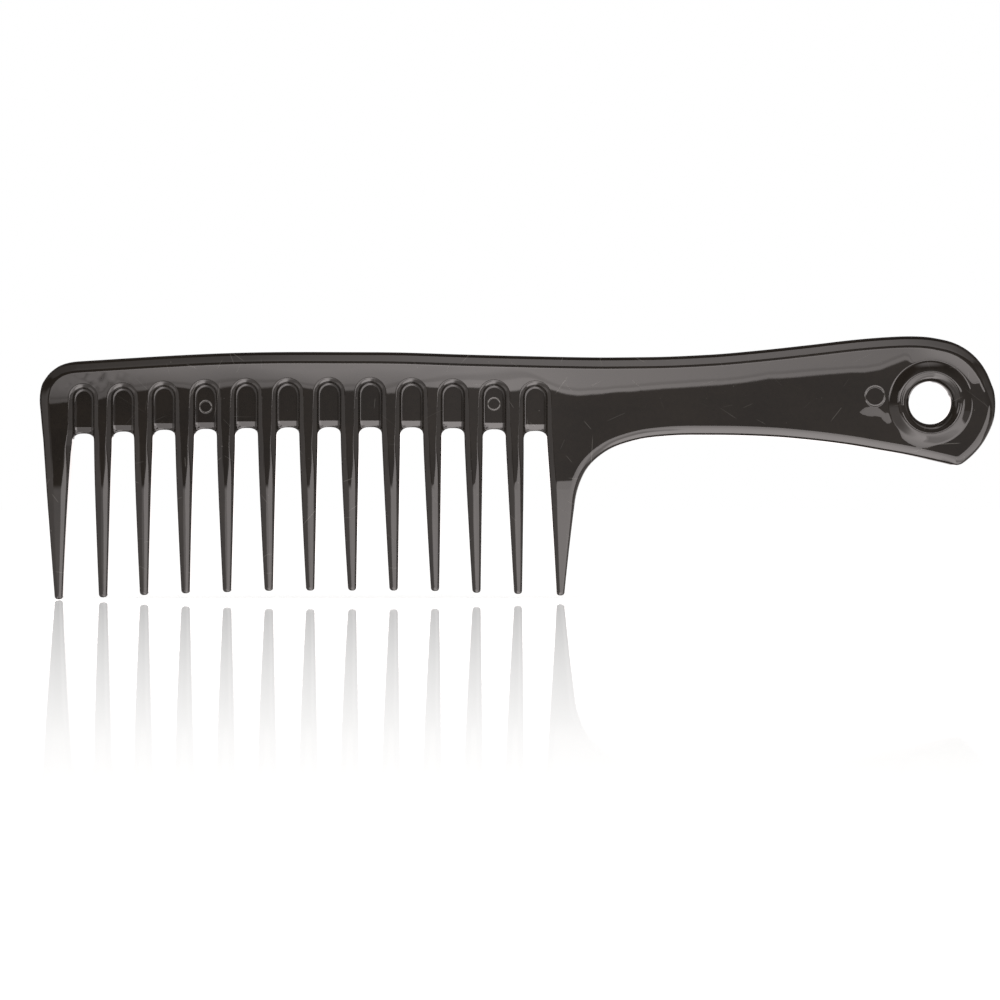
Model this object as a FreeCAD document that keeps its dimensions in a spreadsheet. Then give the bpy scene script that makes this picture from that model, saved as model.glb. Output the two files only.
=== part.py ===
import FreeCAD, Part
import os
import math
import Sketcher
from FreeCAD import Vector, Placement, Rotation

# Wide tooth comb with a handle and a hanging eye, in millimetres.
# Frame: +X along the comb towards the handle's end, +Z up towards the back of
# the comb (teeth point down), the front face looks along -Y.
# The origin is the centre of the hanging hole, on the comb's mid plane.
#
# The comb is symmetric about its mid plane. Its pieces are the toothed back
# (spine), thirteen teeth, the handle and the raised hanging eye. Neighbours
# meet on plane or cylindrical faces with no gap and no overlap.

os.makedirs("parts", exist_ok=True)
doc = FreeCAD.newDocument("wide_tooth_comb")

# -------------------------------------------------------- driving dimensions
sheet = doc.addObject("Spreadsheet::Sheet", "Dims")
sheet_aliases = []


def dim(alias, value):
    """Write one named dimension to the next row of the sheet."""
    sheet_aliases.append(alias)
    row = len(sheet_aliases)
    sheet.set("A%d" % row, alias)
    sheet.set("B%d" % row, "%.4f" % value)
    sheet.setAlias("B%d" % row, alias)
    return value


body_thick = dim("body_thick", 4.80)     # back and handle, over both faces
web_thick = dim("web_thick", 2.20)       # floor of the recesses above the gaps
eye_thick = dim("eye_thick", 6.00)       # raised hanging eye, crown to crown
hole_radius = dim("hole_radius", 5.34)   # hanging hole
eye_radius = dim("eye_radius", 10.54)    # foot of the raised eye
bore_half = dim("bore_half", 1.70)       # half the straight wall of the hole
crown_radius = dim("crown_radius", 8.00) # where the eye is thickest
dim("rim_bevel", 2.35)                   # rim bevel measured on the face
dim("rim_depth", 1.00)                   # rim bevel through the thickness
dim("tooth_bevel", 0.70)                 # bevel of tooth and recess edges
dim("web_bevel", 0.55)                   # bevel on the web above each gap
root_drop = dim("root_drop", 9.31)       # tooth roots, below the hole's centre
heel_drop = dim("heel_drop", 24.36)      # root of the last tooth, likewise
neck_back = dim("neck_back", 72.79)      # handle starts this far before the hole
arch_rise = dim("arch_rise", 2.26)       # height of the arch over each gap
tip_thick = dim("tip_thick", 2.00)       # teeth at their tips, front to back
dim("tip_round", 0.50)                   # rounding round each tip

half_body = body_thick / 2
half_web = web_thick / 2
half_eye = eye_thick / 2
half_tip = tip_thick / 2
z_root = -root_drop
z_heel = -heel_drop
x_neck = -neck_back
z_neck_top = 11.52
z_neck_low = -9.06

overcut = 1.0             # how far cutting outlines run past the solid
arch_power = 2.6          # exponent of the squared ellipse of each arch
arch_steps = 16           # spline spans along each arch
mouth_mid_step = (0.21, 0.50)   # rounded mouth of the hole: radial and axial
mouth_end_step = (0.80, 0.75)   # steps from the end of the straight wall
crown_half_width = 0.60   # half the width of the crown's arc
crown_sag = 0.06          # drop from the crown to the ends of its arc

# Each tooth: left and right x at its root, left and right x at its tip, tip z.
# All root at z_root except the last, which roots at z_heel.
TEETH = [
    (-222.62, -215.34, -219.85, -217.75, -49.34),
    (-209.82, -205.33, -208.74, -206.58, -48.84),
    (-199.75, -195.09, -198.40, -196.29, -48.26),
    (-189.44, -184.70, -187.95, -185.85, -47.83),
    (-178.98, -174.41, -177.53, -175.48, -47.53),
    (-168.69, -164.02, -167.03, -164.98, -47.20),
    (-158.30, -153.68, -156.56, -154.57, -47.13),
    (-147.91, -143.32, -146.02, -144.10, -47.13),
    (-137.57, -132.97, -135.61, -133.60, -47.13),
    (-127.20, -122.61, -125.20, -123.22, -47.25),
    (-116.86, -112.24, -114.89, -112.76, -47.68),
    (-106.52, -101.98, -104.36, -102.36, -47.98),
    (-95.11, -89.06, -93.73, -91.72, -48.36),
]
x_first_left = TEETH[0][0]
x_last_left, x_last_right = TEETH[-1][:2]
x_last_left_at_root = -96.16   # left side of the last tooth, up at z_root

# The twelve gaps: z of the arch's apex, z of the top of the recess above it.
GAP_HEIGHTS = [
    (-7.68, 3.69), (-7.18, 3.87), (-6.72, 4.32), (-6.50, 4.75),
    (-6.27, 5.00), (-6.12, 5.12), (-6.05, 5.25), (-6.05, 5.25),
    (-6.10, 5.12), (-6.30, 4.87), (-6.60, 4.62), (-7.00, 4.37),
]
# Each gap lies between the right root of one tooth and the left of the next.
gap_lefts = [tooth[1] for tooth in TEETH[:-1]]
gap_rights = [tooth[0] for tooth in TEETH[1:-1]] + [x_last_left_at_root]

# Outlines as (x, z) points, each interpolated by one spline.
# Back of the comb, from the first tooth's outer side round the corner and
# along the top to the neck.
BACK_OUTLINE = [
    (x_first_left, z_root), (-222.86, -6.80), (-223.10, -4.30), (-223.35, -1.78),
    (-223.55, 0.73), (-223.33, 3.24), (-222.85, 4.95), (-222.36, 5.78),
    (-221.86, 6.55), (-220.86, 7.71), (-219.60, 8.72), (-218.35, 9.46),
    (-215.85, 10.22), (-213.34, 10.50), (-208.32, 10.82), (-195.77, 11.60),
    (-183.22, 12.27), (-170.67, 12.70), (-158.12, 12.83), (-145.57, 12.80),
    (-133.02, 12.70), (-120.48, 12.30), (-107.93, 11.95), (-95.38, 11.65),
    (-82.83, 11.45), (-77.81, 11.47), (x_neck, z_neck_top),
]
# Hollow between the handle's lower edge and the last tooth's outer side.
GUSSET = [
    (x_neck, z_neck_low), (-77.81, -10.46), (-80.84, -11.82), (-84.23, -14.33),
    (-86.36, -16.84), (-87.64, -19.35), (-88.52, -21.86), (x_last_right, z_heel),
]
# Top of the handle, round its end, and its lower edge back to the neck.
HANDLE_OUTLINE = [
    (x_neck, z_neck_top), (-67.77, 11.60), (-62.75, 11.77), (-57.73, 12.02),
    (-52.71, 12.32), (-47.69, 12.75), (-42.68, 13.23), (-37.66, 13.75),
    (-32.64, 14.31), (-27.62, 14.88), (-22.60, 15.49), (-17.58, 16.02),
    (-12.56, 16.44), (-7.54, 16.72), (-5.03, 16.77), (-2.52, 16.72),
    (-0.01, 16.52), (2.50, 16.09), (5.01, 15.51), (7.52, 14.51),
    (10.03, 12.93), (12.54, 10.47), (14.55, 7.31), (15.55, 4.82),
    (16.13, 3.24), (16.45, 0.73), (16.37, -1.78), (15.97, -4.29),
    (15.07, -6.73), (13.79, -9.21), (12.54, -11.04), (11.28, -12.50),
    (10.03, -13.70), (8.80, -14.72), (7.70, -15.40), (6.35, -15.62),
    (5.01, -15.38), (2.50, -14.80), (-2.52, -13.65), (-7.54, -12.65),
    (-12.56, -11.79), (-17.58, -10.91), (-22.60, -10.16), (-27.62, -9.53),
    (-32.64, -9.01), (-37.66, -8.58), (-42.68, -8.31), (-47.69, -8.13),
    (-52.71, -8.05), (-57.73, -8.03), (-62.75, -8.08), (-67.77, -8.40),
    (x_neck, z_neck_low),
]


# ----------------------------------------------------------- sketch helpers
def new_body(name):
    body = doc.addObject("PartDesign::Body", name)
    body.Label = name
    return body


def new_sketch(body, name, role="XZ_Plane", offset=0.0):
    """Sketch on an origin plane; on XZ a positive offset goes to the front."""
    plane = next(f for f in body.Origin.OriginFeatures if f.Role == role)
    sketch = body.newObject("Sketcher::SketchObject", name)
    sketch.AttachmentSupport = [(plane, "")]
    sketch.MapMode = "FlatFace"
    if offset:
        sketch.AttachmentOffset = Placement(Vector(0, 0, offset), Rotation())
    return sketch


def vectors(points):
    return [Vector(point[0], point[1], 0) for point in points]


def add_lines(sketch, *points):
    """Join the points in turn with lines and return the geometry numbers."""
    ends = vectors(points)
    return [sketch.addGeometry(Part.LineSegment(start, end))
            for start, end in zip(ends, ends[1:])]


def add_arc(sketch, *three_points):
    sketch.addGeometry(Part.Arc(*vectors(three_points)))


def add_spline(sketch, points):
    curve = Part.BSplineCurve()
    curve.interpolate(vectors(points))
    sketch.addGeometry(curve)


def bind_constraint(sketch, name, alias, *definition):
    """Add a named constraint driven by the sheet."""
    index = sketch.addConstraint(Sketcher.Constraint(*definition))
    sketch.renameConstraint(index, name)
    sketch.setExpression("Constraints." + name, "Dims." + alias)


# ---------------------------------------------------------- feature helpers
def pad_body(body, sketch, name):
    """Pad by the body thickness, half to each side of the mid plane."""
    pad = body.newObject("PartDesign::Pad", name)
    pad.Profile = sketch
    pad.Midplane = True
    pad.setExpression("Length", "Dims.body_thick")
    sketch.Visibility = False
    doc.recompute()


def recompute_cut(body, name):
    """Recompute after adding a cut and insist that it removed material."""
    before = body.Shape.Volume
    doc.recompute()
    if not body.Shape.Volume < before - 1e-6:
        raise RuntimeError("%s cut nothing" % name)


def pocket(body, sketch, name, depth=None, reverse=False):
    """Cut to a depth given as an expression, or right through without one."""
    cut = body.newObject("PartDesign::Pocket", name)
    cut.Profile = sketch
    if depth:
        cut.setExpression("Length", depth)
        cut.Reversed = reverse
    else:
        cut.Type = "ThroughAll"
        cut.Midplane = True
    sketch.Visibility = False
    recompute_cut(body, name)


def dress(body, kind, name, edge_test, **sizes):
    """Chamfer or fillet the edges that pass the test; sizes are aliases."""
    names = ["Edge%d" % (i + 1) for i, edge in enumerate(body.Shape.Edges)
             if edge_test(edge)]
    if not names:
        raise RuntimeError("%s found no edges" % name)
    base = body.Tip
    feature = body.newObject("PartDesign::" + kind, name)
    feature.Base = (base, names)
    if "Size2" in sizes:
        feature.ChamferType = "Two distances"
    for size, alias in sizes.items():
        feature.setExpression(size, "Dims." + alias)
    recompute_cut(body, name)


def on_faces(edge, depth):
    """True if the edge lies in the plane y = depth or y = -depth."""
    box = edge.BoundBox
    return any(abs(box.YMin - y) < 1e-4 and abs(box.YMax - y) < 1e-4
               for y in (-depth, depth))


def is_spline_on(edge, depth):
    return on_faces(edge, depth) and edge.Curve.TypeId == "Part::GeomBSplineCurve"


def edge_height(edge):
    return edge.BoundBox.ZMax - edge.BoundBox.ZMin


def bevel_rim(body, name):
    """Bevel the splined outline of both faces."""
    dress(body, "Chamfer", name, lambda edge: is_spline_on(edge, half_body),
          Size="rim_depth", Size2="rim_bevel")


# -------------------------------------------------------------------- spine
def cut_recesses(body, side, offset, reverse):
    """A recess above every gap on one face: gap walls and a half round top."""
    sketch = new_sketch(body, "recess_" + side, "XZ_Plane", offset)
    bottom = z_root - overcut
    for left, right, (_, top) in zip(gap_lefts, gap_rights, GAP_HEIGHTS):
        radius = (right - left) / 2
        z_spring = top - radius
        add_lines(sketch, (left, bottom), (left, z_spring))
        add_arc(sketch, (left, z_spring), ((left + right) / 2, z_spring + radius),
                (right, z_spring))
        add_lines(sketch, (right, z_spring), (right, bottom), (left, bottom))
    pocket(body, sketch, "recess_pocket_" + side,
           "(Dims.body_thick - Dims.web_thick) / 2", reverse)


def arch_points(left, right, apex):
    """Squared half ellipse from the left wall over the apex to the right."""
    half_width = (right - left) / 2
    middle = (left + right) / 2
    power = 2 / arch_power
    points = []
    for i in range(arch_steps + 1):
        angle = math.pi * (1 - i / arch_steps)
        across, up = math.cos(angle), math.sin(angle)
        points.append((middle + half_width * math.copysign(abs(across) ** power, across),
                       apex - arch_rise + arch_rise * abs(up) ** power))
    return points


def cut_gaps(body):
    sketch = new_sketch(body, "gap_arches")
    bottom = z_root - overcut
    for left, right, (apex, _) in zip(gap_lefts, gap_rights, GAP_HEIGHTS):
        arch = arch_points(left, right, apex)
        add_lines(sketch, (left, bottom), arch[0])
        add_spline(sketch, arch)
        add_lines(sketch, arch[-1], (right, bottom), (left, bottom))
    pocket(body, sketch, "gap_pocket")


def is_root_edge(edge):
    """Edges on the faces that run up, over and down each recess, and the
    last tooth's left side; not the flat root lines, nor the neck."""
    if not on_faces(edge, half_body):
        return False
    if edge.Curve.TypeId == "Part::GeomCircle":
        return True
    at_neck = abs(edge.BoundBox.XMin - x_neck) < 1e-4
    return (edge.Curve.TypeId == "Part::GeomLine"
            and edge_height(edge) >= 1e-6 and not at_neck)


def make_spine():
    body = new_body("spine")
    sketch = new_sketch(body, "spine_outline")
    add_spline(sketch, BACK_OUTLINE)
    add_lines(sketch, BACK_OUTLINE[-1], GUSSET[0])
    add_spline(sketch, GUSSET)
    add_lines(sketch, GUSSET[-1], (x_last_left, z_heel),
              (x_last_left_at_root, z_root), BACK_OUTLINE[0])
    pad_body(body, sketch, "spine_pad")
    bevel_rim(body, "spine_rim_bevel")
    cut_recesses(body, "front", half_body, False)
    cut_recesses(body, "rear", -half_body, True)
    cut_gaps(body)
    # The roots take the same bevel as the teeth below them.
    dress(body, "Chamfer", "root_bevel", is_root_edge, Size="tooth_bevel")
    # The web over each gap is bevelled along its arched edge.
    dress(body, "Chamfer", "web_bevel",
          lambda edge: is_spline_on(edge, half_web), Size="web_bevel")
    return body


# -------------------------------------------------------------------- teeth
def make_tooth(name, tooth, z_top):
    """Draw a tooth with its left root corner on the origin, then place it."""
    root_left, root_right, tip_left, tip_right, z_tip = tooth
    alias = name + "_"
    root_wide = dim(alias + "root_wide", root_right - root_left)
    tip_wide = dim(alias + "tip_wide", tip_right - tip_left)
    lean = dim(alias + "lean", tip_left - root_left)   # left corner, root to tip
    length = dim(alias + "long", z_top - z_tip)
    doc.recompute()

    body = new_body(name)
    sketch = new_sketch(body, name + "_outline")
    sides = add_lines(sketch, (0, 0), (lean, -length), (lean + tip_wide, -length),
                      (root_wide, 0), (0, 0))
    left, tip, _, root = sides
    for side, following in zip(sides, sides[1:] + sides[:1]):
        sketch.addConstraint(Sketcher.Constraint("Coincident", side, 2, following, 1))
    sketch.addConstraint(Sketcher.Constraint("Coincident", left, 1, -1, 1))
    sketch.addConstraint(Sketcher.Constraint("Horizontal", root))
    sketch.addConstraint(Sketcher.Constraint("Horizontal", tip))
    for size, definition in (
            ("root_wide", ("DistanceX", root, 2, root, 1, root_wide)),
            ("tip_wide", ("DistanceX", tip, 1, tip, 2, tip_wide)),
            ("lean", ("DistanceX", -1, 1, left, 2, lean)),
            ("long", ("DistanceY", left, 2, -1, 1, length))):
        bind_constraint(sketch, size, alias + size, *definition)
    pad_body(body, sketch, name + "_pad")

    # Thinning towards the tip: a wedge off each face, seen from the side.
    sketch = new_sketch(body, name + "_taper", "YZ_Plane")
    for side in (1, -1):
        root_corner = (side * half_body, 0)
        y_outside = side * (half_body + overcut)
        z_below = -length - overcut
        add_lines(sketch, root_corner, (side * half_tip, -length),
                  (side * half_tip, z_below), (y_outside, z_below),
                  (y_outside, 0), root_corner)
    pocket(body, sketch, name + "_taper_cut")

    # The four long edges, then everything at the tip.
    dress(body, "Chamfer", name + "_bevel",
          lambda edge: edge_height(edge) > 0.5, Size="tooth_bevel")
    dress(body, "Fillet", name + "_tip_round",
          lambda edge: edge.BoundBox.ZMax < -length + 1e-3, Radius="tip_round")
    body.Placement = Placement(Vector(root_left, 0, z_top), Rotation())
    return body


# ------------------------------------------------------------------- handle
def make_handle():
    body = new_body("handle")
    sketch = new_sketch(body, "handle_outline")
    add_spline(sketch, HANDLE_OUTLINE)
    add_lines(sketch, HANDLE_OUTLINE[-1], HANDLE_OUTLINE[0])
    pad_body(body, sketch, "handle_pad")
    bevel_rim(body, "handle_rim_bevel")

    # Round seat that the hanging eye fills.
    sketch = new_sketch(body, "eye_seat")
    circle = sketch.addGeometry(Part.Circle(Vector(0, 0, 0), Vector(0, 0, 1), eye_radius))
    sketch.addConstraint(Sketcher.Constraint("Coincident", circle, 3, -1, 1))
    bind_constraint(sketch, "seat_radius", "eye_radius", "Radius", circle, eye_radius)
    pocket(body, sketch, "eye_seat_cut")
    return body


# ----------------------------------------------------------------- hang_eye
def make_eye():
    """Ring turned about the hole's axis: a straight wall, a rounded mouth, a
    slope up to the crown and a slope down to the face of the handle."""
    def rear(point):
        return (point[0], -point[1])

    wall = (hole_radius, bore_half)
    mouth_mid = (hole_radius + mouth_mid_step[0], bore_half + mouth_mid_step[1])
    mouth_end = (hole_radius + mouth_end_step[0], bore_half + mouth_end_step[1])
    crown_inner = (crown_radius - crown_half_width, half_eye - crown_sag)
    crown = (crown_radius, half_eye)
    crown_outer = (crown_radius + crown_half_width, half_eye - crown_sag)
    foot = (eye_radius, half_body)

    body = new_body("hang_eye")
    sketch = new_sketch(body, "eye_profile", "XY_Plane")
    add_lines(sketch, rear(wall), wall)
    add_arc(sketch, wall, mouth_mid, mouth_end)
    add_lines(sketch, mouth_end, crown_inner)
    add_arc(sketch, crown_inner, crown, crown_outer)
    add_lines(sketch, crown_outer, foot, rear(foot), rear(crown_outer))
    add_arc(sketch, rear(crown_outer), rear(crown), rear(crown_inner))
    add_lines(sketch, rear(crown_inner), rear(mouth_end))
    add_arc(sketch, rear(mouth_end), rear(mouth_mid), rear(wall))
    turn = body.newObject("PartDesign::Revolution", "eye_turn")
    turn.Profile = sketch
    turn.ReferenceAxis = (sketch, ["V_Axis"])
    turn.Angle = 360.0
    sketch.Visibility = False
    return body


# --------------------------------------------------- build, check and export
doc.recompute()
pieces = [make_spine()]
for number, tooth in enumerate(TEETH, 1):
    z_top = z_heel if number == len(TEETH) else z_root
    pieces.append(make_tooth("tooth_%02d" % number, tooth, z_top))
pieces += [make_handle(), make_eye()]
doc.recompute()

for item in doc.Objects:
    faults = [state for state in item.State if state in ("Invalid", "Error")]
    if faults:
        raise RuntimeError("%s is %s" % (item.Label, faults))
for piece in pieces:
    shape = piece.Shape
    if shape.isNull() or not shape.isValid() or len(shape.Solids) != 1:
        raise RuntimeError("%s has no single valid solid" % piece.Label)
for piece in pieces:
    piece.Shape.exportStep("parts/%s.step" % piece.Label)
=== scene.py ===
import math
from collections import namedtuple

import bpy
import numpy as np
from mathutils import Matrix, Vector, kdtree
from mathutils.geometry import delaunay_2d_cdt


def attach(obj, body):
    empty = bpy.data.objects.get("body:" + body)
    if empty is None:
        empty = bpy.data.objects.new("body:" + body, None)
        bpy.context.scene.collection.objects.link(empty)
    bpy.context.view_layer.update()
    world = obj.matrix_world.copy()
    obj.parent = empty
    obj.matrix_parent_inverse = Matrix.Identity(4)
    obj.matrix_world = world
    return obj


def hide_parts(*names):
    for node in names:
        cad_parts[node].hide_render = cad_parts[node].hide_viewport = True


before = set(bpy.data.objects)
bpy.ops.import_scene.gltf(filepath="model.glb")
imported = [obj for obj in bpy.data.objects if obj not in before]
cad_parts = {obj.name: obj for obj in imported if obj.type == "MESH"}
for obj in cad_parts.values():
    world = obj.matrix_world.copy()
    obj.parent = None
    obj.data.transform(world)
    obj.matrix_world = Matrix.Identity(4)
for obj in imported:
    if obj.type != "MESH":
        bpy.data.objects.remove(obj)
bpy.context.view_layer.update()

# ---------------------------------------------------------------- dimensions
METRES_PER_MM = 0.001
MM_PER_METRE = 1000

# Outline (x, z) from the first tooth's root, clockwise seen from the front, to
# the last tooth's root.
RIM_STATIONS = [
    # left end and top of the spine
    (-222.86, -6.80), (-223.10, -4.30), (-223.35, -1.78), (-223.55, 0.73), (-223.33, 3.24),
    (-222.85, 4.95), (-222.36, 5.78), (-221.86, 6.55), (-220.86, 7.71), (-219.60, 8.72),
    (-218.35, 9.46), (-215.85, 10.22), (-213.34, 10.50), (-208.32, 10.82), (-195.77, 11.60),
    (-183.22, 12.27), (-170.67, 12.70), (-158.12, 12.83), (-145.57, 12.80), (-133.02, 12.70),
    (-120.48, 12.30), (-107.93, 11.95), (-95.38, 11.65), (-82.83, 11.45), (-77.81, 11.47),
    (-72.79, 11.52),
    # top and right end of the handle
    (-67.77, 11.60), (-62.75, 11.77), (-57.73, 12.02), (-52.71, 12.32), (-47.69, 12.75),
    (-42.68, 13.23), (-37.66, 13.75), (-32.64, 14.31), (-27.62, 14.88), (-22.60, 15.49),
    (-17.58, 16.02), (-12.56, 16.44), (-7.54, 16.72), (-5.03, 16.77), (-2.52, 16.72),
    (-0.01, 16.52), (2.50, 16.09), (5.01, 15.51), (7.52, 14.51), (10.03, 12.93),
    (12.54, 10.47), (14.55, 7.31), (15.55, 4.82), (16.13, 3.24), (16.45, 0.73),
    (16.37, -1.78), (15.97, -4.29), (15.07, -6.73), (13.79, -9.21), (12.54, -11.04),
    (11.28, -12.50), (10.03, -13.70), (8.80, -14.72),
    # underside of the handle
    (7.70, -15.40), (6.35, -15.62), (5.01, -15.38), (2.50, -14.80), (-2.52, -13.65),
    (-7.54, -12.65), (-12.56, -11.79), (-17.58, -10.91), (-22.60, -10.16), (-27.62, -9.53),
    (-32.64, -9.01), (-37.66, -8.58), (-42.68, -8.31), (-47.69, -8.13), (-52.71, -8.05),
    (-57.73, -8.03), (-62.75, -8.08), (-67.77, -8.40), (-72.79, -9.06),
    # curve down into the last tooth
    (-77.81, -10.46), (-80.84, -11.82), (-84.23, -14.33), (-86.36, -16.84), (-87.64, -19.35),
    (-88.52, -21.86),
]

# Each tooth: x of its left and right edges as quadratics in (z + 30) / 20,
# highest power first, and the height of its tip.
Tooth = namedtuple("Tooth", "left right tip")
TEETH = [Tooth(*row) for row in (
    ((0.0075, -1.4188, -221.1454), (0.1824, 1.2107, -216.7988), -49.34),
    ((0.0932, -0.5917, -209.3251), (0.0173, 0.6492, -205.9969), -48.84),
    ((0.1041, -0.7146, -199.1203), (0.0568, 0.6428, -195.7838), -48.26),
    ((0.0864, -0.7735, -188.7206), (0.0794, 0.5923, -185.3890), -47.83),
    ((0.0760, -0.7762, -178.2845), (-0.0326, 0.5602, -174.9313), -47.53),
    ((0.1245, -0.8790, -167.8973), (0.0239, 0.4993, -164.5466), -47.20),
    ((0.1048, -0.8889, -157.4740), (-0.0165, 0.4658, -154.1363), -47.13),
    ((0.1604, -0.9994, -147.0531), (0.0009, 0.3991, -143.7109), -47.13),
    ((0.0580, -0.9989, -136.5729), (0.0097, 0.3358, -133.3129), -47.13),
    ((0.0896, -1.0403, -126.2239), (-0.0406, 0.3219, -122.8997), -47.25),
    ((0.0846, -1.0652, -115.8530), (0.0105, 0.2965, -112.5341), -47.68),
    ((0.0542, -1.1120, -105.4237), (-0.0642, 0.2369, -102.1287), -47.98),
    ((-0.1047, -1.2515, -94.7447), (0.2715, 2.4353, -89.7772), -48.36),
)]
LAST = len(TEETH) - 1
TIP_RISE, TIP_POWER = 0.98, 2 / 2.5     # height and superellipse power of a tip

# Each gap between teeth ends upwards in a recess, closed by a thin web whose
# lower edge is an arch: recess wall x left and right, recess top z, arch apex z.
Gap = namedtuple("Gap", "left right top apex")
GAP_ROWS = [Gap(*row) for row in (
    (-214.98, -209.82, 3.69, -7.68), (-205.33, -199.75, 3.87, -7.18),
    (-195.09, -189.44, 4.32, -6.72), (-184.70, -178.98, 4.75, -6.50),
    (-174.41, -168.69, 5.00, -6.27), (-164.02, -158.30, 5.12, -6.12),
    (-153.68, -147.91, 5.25, -6.05), (-143.32, -137.57, 5.25, -6.05),
    (-132.97, -127.20, 5.12, -6.10), (-122.61, -116.86, 4.87, -6.30),
    (-112.24, -106.52, 4.62, -6.60), (-101.98, -96.16, 4.37, -7.00),
)]
FIRST_GAP_X, GAP_PITCH = -212.4, 10.31
GAP_LEG_TOP = -12.0                     # where tooth edges give way to recess walls
ARCH_RISE, ARCH_POWER = 2.26, 2 / 2.6

# Seams between the pieces: tooth roots, the last tooth's root (right of
# X_LAST), the neck of the handle and the ring round the hole.
Z_ROOT, Z_HEEL, X_LAST, X_NECK, R_EYE, R_HOLE = -9.31, -24.36, -99.0, -72.79, 10.54, 5.34

HALF = 2.40                             # half thickness of the flat faces
WEB, WEB_BEVEL = 0.95, 1.55             # web half thickness, bevel reach over the arch
TAPER_0, TAPER_1 = -11.5, -25.0         # z over which the teeth start to thin

# Shallow round grooves on the front; the last two fields are their rubbed lips.
Mark = namedtuple("Mark", "x z radius depth width lip_width paleness")
HANDLE_MARK = Mark(-13.94, 1.66, 2.45, 0.030, 0.17, 0.13, 0.35)
WEB_MARKS = [Mark(-181.79, -0.93, 1.50, 0.026, 0.13, 0.11, 0.55),
             Mark(-109.43, -0.20, 1.50, 0.017, 0.11, 0.11, 0.80)]

# Mesh density: dense curve step, thinned spacing and bend (radians), leg step.
FINE, CLOSE, COARSE, BEND, LEG_STEP = 0.06, 0.10, 1.1, 0.12, 2.2
# Offsets of the lines parallel to the edges, and radii of the circles.
RIM_OFFSETS = (0.05, 0.14, 0.28, 0.45, 0.65, 0.85, 1.05, 1.25, 1.5, 1.75, 2.0, 2.2, 2.4,
               2.6, 2.85, 3.1, 3.25, 3.45)
GAP_BODY_OFFSETS = (0.04, 0.1, 0.2, 0.34, 0.5, 0.65, 0.8, 0.95, 1.1, 1.22, 1.35, 1.5, 1.64, 1.75)
GAP_WEB_OFFSETS = (0.05, 0.11, 0.17, 0.22, 0.27, 0.32, 0.38, 0.48, 0.62, 0.76, 0.86, 0.96)
ARCH_OFFSETS = (0.04, 0.1, 0.18, 0.28, 0.4, 0.5, 0.56)
WEB_BEVEL_OFFSETS = (-0.16, -0.06, 0.03, 0.12, 0.22)
EYE_RADII = (R_HOLE, 5.37, 5.43, 5.52, 5.64, 5.78, 5.92, 6.06, 6.2, 6.4, 6.7, 7.0, 7.3, 7.52,
             7.75, 7.98, 8.24, 8.5, 8.8, 9.2, 9.7, 10.1, 10.35, R_EYE, 10.65, 10.75, 10.86,
             11.0, 11.2, 11.4)
LOOSE_EYE_RADII = (11.7, 12.1, 12.6, 13.2, 13.8)
HANDLE_MARK_RADII = (0.6, 1.3, 1.8, 2.05, 2.14, 2.22, 2.29, 2.35, 2.40, 2.45, 2.50, 2.55,
                     2.61, 2.68, 2.76, 2.85, 3.0)
WEB_MARK_RADII = (0.5, 0.95, 1.2, 1.28, 1.35, 1.41, 1.46, 1.5, 1.54, 1.59, 1.65, 1.72, 1.8)


# ------------------------------------------------------------------ outlines
def edge_x(edge, z):
    t = (z + 30.0) / 20.0
    return edge[0] * t * t + edge[1] * t + edge[2]


def natural_spline(stations):
    """Dense points, about FINE apart, on a natural cubic spline."""
    points = np.array(stations, float)
    chord = np.hypot(*(points[1:] - points[:-1]).T)
    knots = np.concatenate(([0.0], np.cumsum(np.sqrt(chord) * np.sqrt(chord.mean()))))
    count = len(points)
    span = knots[1:] - knots[:-1]
    matrix = np.zeros((count, count))
    rhs = np.zeros((count, 2))
    matrix[0, 0] = matrix[-1, -1] = 1.0
    for i in range(1, count - 1):
        matrix[i, i - 1:i + 2] = span[i - 1], 2 * (span[i - 1] + span[i]), span[i]
        rhs[i] = 6 * ((points[i + 1] - points[i]) / span[i]
                      - (points[i] - points[i - 1]) / span[i - 1])
    curv = np.linalg.solve(matrix, rhs)
    dense = [points[0]]
    for i in range(count - 1):
        h = span[i]
        steps = max(1, int(math.ceil(chord[i] / FINE)))
        for j in range(1, steps + 1):
            u = h * j / steps
            v = h - u
            dense.append(curv[i] * v ** 3 / (6 * h) + curv[i + 1] * u ** 3 / (6 * h)
                         + (points[i] / h - curv[i] * h / 6) * v
                         + (points[i + 1] / h - curv[i + 1] * h / 6) * u)
    return np.array(dense)


def half_tip(tooth, side):
    """Half of a tooth's rounded tip, from its lowest point out to one edge."""
    z_top = tooth.tip + TIP_RISE
    left, right = edge_x(tooth.left, z_top), edge_x(tooth.right, z_top)
    centre, half_width = (left + right) / 2, (right - left) / 2
    low_centre = (edge_x(tooth.left, tooth.tip) + edge_x(tooth.right, tooth.tip)) / 2
    points = []
    for j in range(9):
        angle = math.pi / 2 * j / 8
        out, drop = math.sin(angle) ** TIP_POWER, math.cos(angle) ** TIP_POWER
        x = low_centre + (centre - low_centre) * (1 - drop)
        points.append((x + side * half_width * out, z_top - TIP_RISE * drop))
    return points


def leg(edge, z0, z1):
    """Points along a tooth edge from height z0 to z1."""
    count = max(2, int(abs(z1 - z0) / LEG_STEP))
    heights = [z0 + (z1 - z0) * j / count for j in range(count + 1)]
    return [(edge_x(edge, z), z) for z in heights]


def edge_up(tooth, side, z_top):
    edge = tooth.left if side < 0 else tooth.right
    return half_tip(tooth, side) + leg(edge, tooth.tip + TIP_RISE, z_top)[1:]


def edge_down(tooth, side, z_top):
    edge = tooth.left if side < 0 else tooth.right
    return leg(edge, z_top, tooth.tip + TIP_RISE)[:-1] + half_tip(tooth, side)[::-1]


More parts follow.
